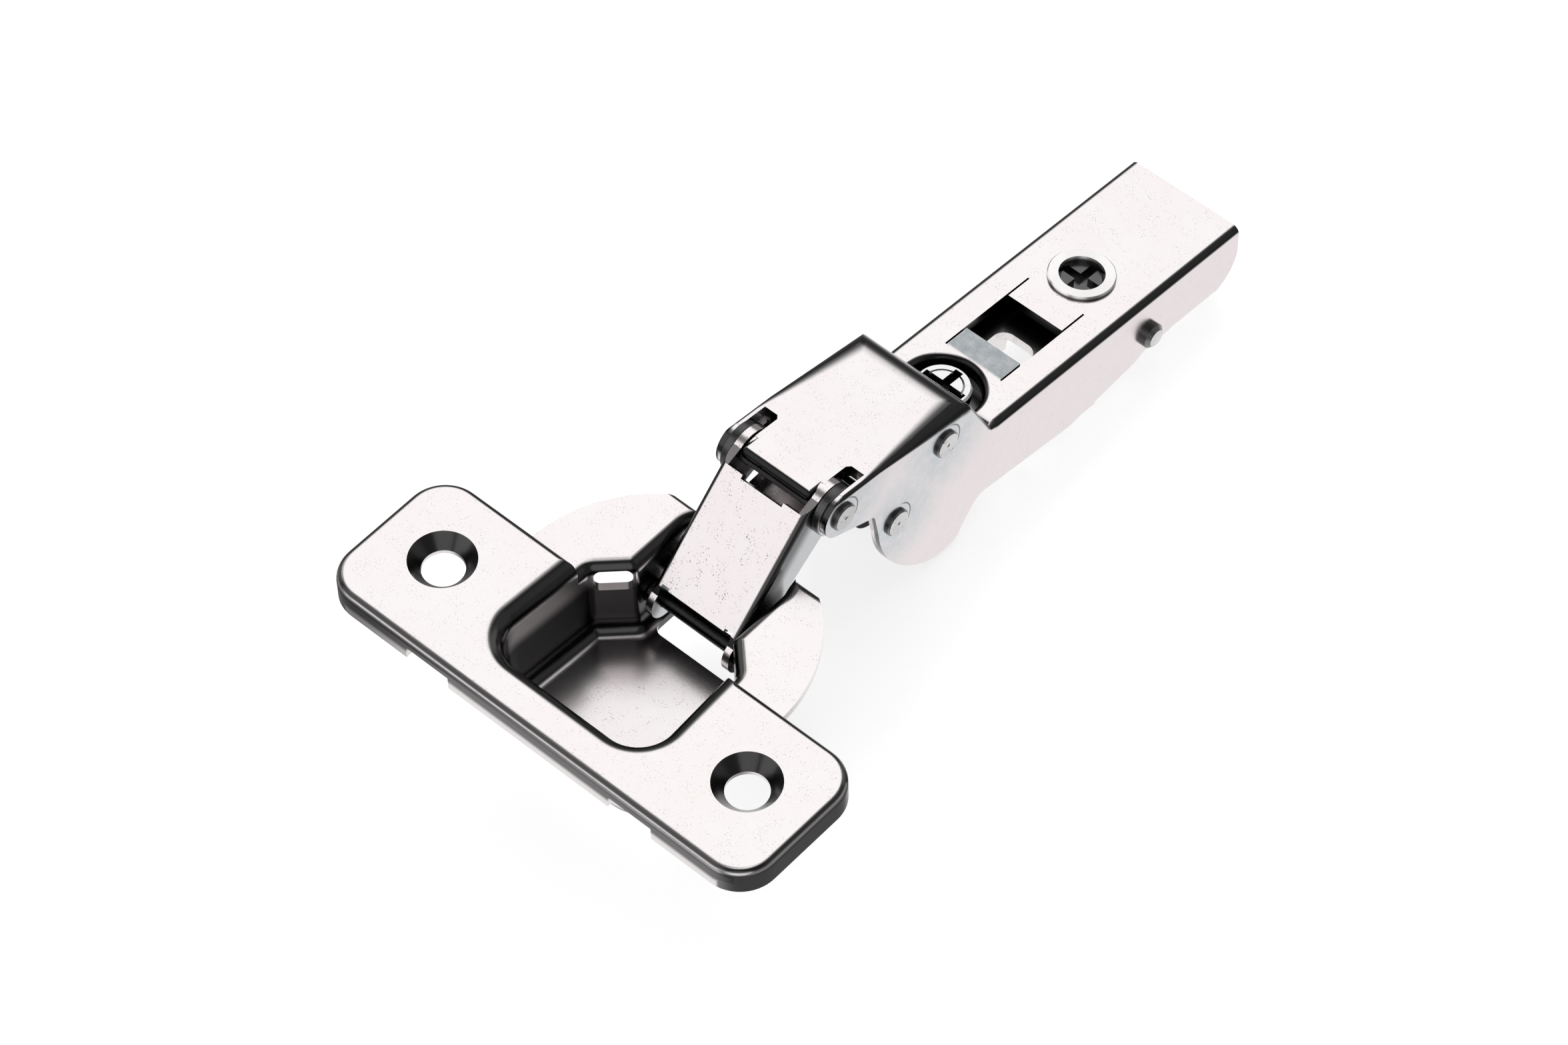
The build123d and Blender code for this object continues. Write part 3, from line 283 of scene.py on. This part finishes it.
def cup_plate():
    """The cup's pressing: painted shade on its bends, pocket and rim, with a painted highlight
    along the rim's fold.

    The painted shade on the pocket's floor gets darker towards its back corner."""
    finish, colour, height = plated("nickel_plated_cup")
    across, along, up = (finish.place.part(axis) for axis in "XYZ")
    level = finish.facing("Z")

    inward = finish.node("ShaderNodeVectorMath", {"operation": "SUBTRACT"},
                         {0: POCKET_MIDDLE, 1: finish.place})
    # painted shade deep in the pocket, on surfaces that look towards its middle
    shade = up.falls(*POCKET_SHADE) * finish.normal.dot(inward).rises(*INTO_POCKET)
    floor = 0.05 + 0.6 * (along - 0.7 * across).rises(*FLOOR_CORNER)
    wall = 0.96 * (1 - level.smooth(0.2, 0.9))

    front = along.falls(*RIM_FRONT)
    ends = abs(across).rises(*RIM_END).most((abs(across) - along).rises(*RIM_CORNER))
    # painted highlight: the painted dark is lifted along the rim's fold
    painted_highlight = 0.85 * front.most(ends) * level.smooth(0.3, 0.5) * (1 - level.smooth(0.6, 0.78))
    side = (0.9 * ends).most(front * up.rises(*RIM_SIDE)) * (1 - level.smooth(0.2, 0.4))

    # painted shade and painted dark reflection on the bends, the pocket's walls and floor, and the
    # rim's sides
    dark = strongest((0.96 * finish.bends("Z"), floor.most(wall) * shade, 0.9 * side))
    return finish.seal(finish.blend(dark * (1 - painted_highlight), colour, PAINTED_DARK), height)


def arm_plate():
    """The arm's pressing: painted shade on its folds, inner faces, front lip, tongue edge and round
    the heads, a painted rose reflection tint on its sides, and a cool stain round the rivet heads.
    """
    finish, colour, height = plated("nickel_plated_arm")
    across, along = abs(finish.place.part("X")), finish.place.part("Y")
    squarely, rearward = finish.facing("X"), finish.normal.part("Y")
    side = squarely.smooth(0.8, 0.95)

    # painted shade along the edge of a coined ring behind each rivet head
    def coin_edge_shade(y, z):
        away = finish.beside(y, z)
        behind = along.rises(y + COIN_START[0], y + COIN_START[1])
        return away.rises(*COIN_INNER) * away.falls(*COIN_OUTER) * behind

    stain = strongest(finish.beside(y, z).falls(*HEAD_STAIN) for y, z in HEADS)
    mottle = finish.noise(MOTTLE, 4.0, 0.7).smooth(0.25, 0.7)
    run, _ = finish.from_pivot()
    front_lip_shade = run.rises(*LIP_START) * run.falls(*LIP_END) * across.falls(*LIP_SIDE)
    # painted rose reflection tint on the sideways faces
    colour = finish.blend(0.5 * side, colour, SIDE_PAINTED_ROSE)
    colour = finish.blend(side * stain * (0.5 + 0.5 * mottle), colour, NICKEL_COOL)
    # painted shade on the front lip, which slopes down in front of the window
    colour = finish.blend(front_lip_shade * (0.7 + 0.3 * mottle), colour, LIP_PAINTED_SHADE)

    # painted shade and painted dark reflection along the folds beside the roof, over its rear crest
    # and on the walls' inner faces
    fold = (FOLD_AT_FRONT * MM + FOLD_GROWTH * (along - ROOF_FRONT * MM)).most(FOLD_LEAST * MM)
    beside_fold = 1 - ((ARM_HALF * MM - across) / fold).smooth(0.9, 1.7)
    crest = along.rises(*CREST_START) * along.falls(*CREST_END)
    roof_edge = 0.95 * (1 - side) * crest.most(beside_fold * along.falls(*ROOF_END))
    rear_face = 0.6 * rearward.smooth(0.5, 0.75)
    folded = (0.98 * finish.bends("Z")).most(roof_edge) * (1 - rear_face)
    within = 0.95 * squarely.smooth(0.3, 0.6) * across.falls(*ARM_INNER)
    coin_edge_shades = 0.75 * side * strongest(coin_edge_shade(y, z) for y, z in HEADS)
    colour = finish.blend(strongest((folded, within, coin_edge_shades)), colour, PAINTED_DARK)

    # painted shade on the tongue's front edge
    tongue_edge_shade = (0 - rearward).smooth(0.12, 0.4) * across.falls(*TONGUE_SIDE)
    return finish.seal(finish.blend(tongue_edge_shade, colour, SHADED), height)


def link_plate():
    """The links' pressing: rosier, coarser pitted, with painted shade on its long folds, inner
    faces and cheeks under the plate, and a painted cool reflection tint on its cheeks.
    """
    finish, colour, height = plated("nickel_plated_link", LINK_NICKEL, LINK_ROSE,
                                    rough=0.21, pits=0.9, pit_size=0.17)
    squarely = finish.facing("X")
    cheek = squarely.smooth(0.85, 0.97)
    # painted cool reflection tint on the cheeks
    colour = finish.blend(0.7 * cheek, colour, NICKEL_COOL)
    # painted shade on the folds, on the cheeks under the plate and on the inner faces
    pivot_height = Vector(PLATE_WAY).dot((0, PIVOT[0] * MM, PIVOT[1] * MM))
    under_plate = (finish.place.dot(PLATE_WAY) - pivot_height).rises(*UNDER_PLATE)
    within = 0.95 * squarely.smooth(0.3, 0.6) * abs(finish.place.part("X")).falls(*LINK_INNER)
    dark = strongest((0.95 * finish.bends("X"), cheek * (0.15 + 0.65 * under_plate), within))
    return finish.seal(finish.blend(dark, colour, PAINTED_DARK), height)


def carriage_plate():
    """The carriage's pressing: painted shade on its top, which lies inside the arm."""
    finish, colour, height = plated("nickel_plated_carriage")
    # painted shade on the top
    top = finish.normal.part("Z").smooth(0.4, 0.8)
    return finish.seal(finish.blend(0.9 * top, colour, SHADED), height)


def rivet_plate():
    """Peened heads: speckled faces, painted shade on their sides, in the punch mark in the middle
    and on the shanks.
    """
    finish, colour, height = plated("nickel_plated_rivet", PEENED, PEENED_DULL,
                                    pits=0.9, pit_size=0.3, peel=0.03)
    # painted shade on the heads' sides, in the punch mark and on the shanks
    flank = 1 - finish.facing("X").smooth(0.6, 0.95)
    shank = abs(finish.place.part("X")).falls(*SHANK_END)
    punch = strongest(finish.beside(y, z).falls(*PUNCH_MARK) for y, z in HEADS)
    colour = finish.blend((0.93 * flank).most(0.85 * punch), colour, PAINTED_DARK)
    return finish.seal(finish.blend(shank, colour, SHADED), height)


def driven(name, top, bright, other, rough):
    """A screw or cam with painted shade in its cross recess, below its face, at top over the arm's
    line.
    """
    finish, colour, height = plated(name, bright, other, rough, pits=0.2)
    _, over = finish.from_pivot()
    # painted shade in the cross recess
    sunk = over.falls(top - RECESS[0], top - RECESS[1])
    return finish.seal(finish.blend(0.9 * sunk, colour, PAINTED_DARK), height)


def spring_steel():
    finish, colour, height = plated("blued_spring_steel", BLUED, BLUED_DEEP, rough=0.3, pits=0.2)
    return finish.seal(colour, height)


LINK = link_plate()
RIVET = rivet_plate()
FINISHES = {
    "cup_pressing": cup_plate(),
    "arm_pressing": arm_plate(),
    "carriage_pressing": carriage_plate(),
    "link_pressing": LINK,
    "lever": LINK,
    "rivet": RIVET,
    "washer": RIVET,
    "screw": driven("zinc_plated_screw", SCREW_TOP, ZINC, ZINC_COOL, 0.15),
    "cam": driven("plated_casting", CAM_TOP, CASTING, CASTING_DULL, 0.18),
    "spring_steel": spring_steel(),
}

for entry in frame["record"]["subparts"]:
    mesh = NODES[entry["node"]].data
    mesh.materials.clear()
    mesh.materials.append(FINISHES[entry["material_slot"]])


# ---- camera ---------------------------------------------------------------------------
CAMERA_PLACE = (259.9, -256.9, 499.4)                           # in millimetres
CAMERA_TURN, CAMERA_RISE, CAMERA_ROLL = 43.04, 52.736, -1.537   # in degrees
SENSOR_WIDTH, LENS = 36.0, 130.02
CLIP_START, CLIP_END = 0.01, 20.0


def aim_camera():
    turn, rise, roll = radians(CAMERA_TURN), radians(CAMERA_RISE), radians(CAMERA_ROLL)
    back = Vector((sin(turn) * cos(rise), -cos(turn) * cos(rise), sin(rise)))
    right = (-back).cross(Vector((0, 0, 1))).normalized()
    up = right.cross(-back)
    right, up = cos(roll) * right + sin(roll) * up, cos(roll) * up - sin(roll) * right
    data = bpy.data.cameras.new("camera")
    data.sensor_fit = "HORIZONTAL"
    data.sensor_width = SENSOR_WIDTH
    data.lens = LENS
    data.clip_start = CLIP_START
    data.clip_end = CLIP_END
    camera = bpy.data.objects.new("camera", data)
    camera.matrix_world = (Matrix.Translation(Vector(CAMERA_PLACE) * MM)
                           @ Matrix((right, up, back)).transposed().to_4x4())
    bpy.context.scene.collection.objects.link(camera)
    bpy.context.scene.camera = camera


# ---- floor, light and background ------------------------------------------------------
FLOOR_HALF = 1.5            # in metres
FLOOR_GAP = 0.2 * MM        # between the floor and the hinge
FLOOR_GLOW = 0.72           # lifts the paper to white for the camera and keeps the shadow on it
SHEET_EDGE = (20.25, 36.45) # |x|: the bright sheet under the hinge fades out, as the metal sees it
SHEET_LEVEL = 0.97
TABLE_LEVEL = 0.24          # beyond the sheet

# The way to the middle of each soft box, its half angle in degrees and its level.
SOFT_BOXES = (((-0.42, 0.5, 0.75), 24, 1.05),
              ((-0.42, -0.72, 0.55), 28, 0.95),
              ((0.52, -0.7, 0.5), 26, 0.8),
              ((0.1, 0.93, 0.36), 16, 0.85),
              ((-0.93, 0.0, 0.35), 18, 0.85),
              ((0.6, 0.6, 0.5), 24, 0.2),
              ((0.0, 0.25, 0.97), 10, 0.5),
              ((0.0, 0.0, 1.0), 12, 0.6))
BOX_EDGE = 3                # degrees over which a box fades, to either side
ROOM = 0.17                 # grey room between the boxes
LOW_ROOM = 0.1              # and how much lighter it is near the table's level

KEY_PLACE, KEY_TARGET = (-0.45, 0.45, 0.75), (0, 0.03, 0)       # in metres
KEY_SIZE, KEY_POWER = 0.5, 1.5


def paper_floor():
    """Matt paper, white to the camera; metal mirrors a bright sheet on a darker table."""
    paper = Finish("paper_floor", Base_Color=PAPER, Roughness=0.9)

    def glow(level):
        return paper.node("ShaderNodeEmission", {}, {"Color": WHITE, "Strength": level})

    def mixed(factor, low, high):
        return paper.node("ShaderNodeMixShader", {}, {0: factor, 1: low, 2: high})

    matt = Value(paper, paper.shader.outputs[0])
    lifted = paper.node("ShaderNodeAddShader", {}, {0: matt, 1: glow(FLOOR_GLOW)})
    shown = mixed(paper.node("ShaderNodeLightPath", output="Is Camera Ray"), matt, lifted)
    beyond = abs(paper.place.part("X")).rises(*SHEET_EDGE)
    mirrored = mixed(beyond, glow(SHEET_LEVEL), glow(TABLE_LEVEL))
    surface = mixed(paper.node("ShaderNodeLightPath", output="Is Glossy Ray"), shown, mirrored)
    paper.feed(paper.nodes["Material Output"].inputs["Surface"], surface)
    return paper.material


def lay_floor():
    bm = bmesh.new()
    bmesh.ops.create_grid(bm, x_segments=1, y_segments=1, size=FLOOR_HALF)
    bmesh.ops.translate(bm, verts=bm.verts, vec=(0, 0, cad_box[0][2] - FLOOR_GAP))
    mesh = bpy.data.meshes.new("floor")
    bm.to_mesh(mesh)
    bm.free()
    mesh.materials.append(paper_floor())
    floor = bpy.data.objects.new("floor", mesh)
    bpy.context.scene.collection.objects.link(floor)


def light_room():
    """Soft boxes in a grey room for the metal, plain white for the camera."""
    world = bpy.data.worlds.new("studio")
    bpy.context.scene.world = world
    world.use_nodes = True
    sky = Graph(world.node_tree)
    way = sky.node("ShaderNodeTexCoord", output="Generated")
    level = LOW_ROOM * (1 - way.part("Z").smooth(0.1, 0.3)) + ROOM
    for toward, half_angle, strength in SOFT_BOXES:
        middle = tuple(Vector(toward).normalized())
        edge = cos(radians(half_angle + BOX_EDGE)), cos(radians(half_angle - BOX_EDGE))
        level = level + strength * way.dot(middle).smooth(*edge)
    to_camera = sky.node("ShaderNodeLightPath", output="Is Camera Ray")
    sky.feed(sky.nodes["Background"].inputs["Color"], sky.blend(to_camera, level, WHITE))


def hang_key():
    data = bpy.data.lights.new("soft_key", "AREA")
    data.shape = "SQUARE"
    data.size = KEY_SIZE
    data.energy = KEY_POWER
    lamp = bpy.data.objects.new("soft_key", data)
    lamp.location = KEY_PLACE
    aim = Vector(KEY_TARGET) - Vector(KEY_PLACE)
    lamp.rotation_euler = aim.to_track_quat("-Z", "Y").to_euler()
    lamp.visible_glossy = False
    bpy.context.scene.collection.objects.link(lamp)


bpy.context.scene.view_settings.view_transform = "Standard"
aim_camera()
lay_floor()
light_room()
hang_key()
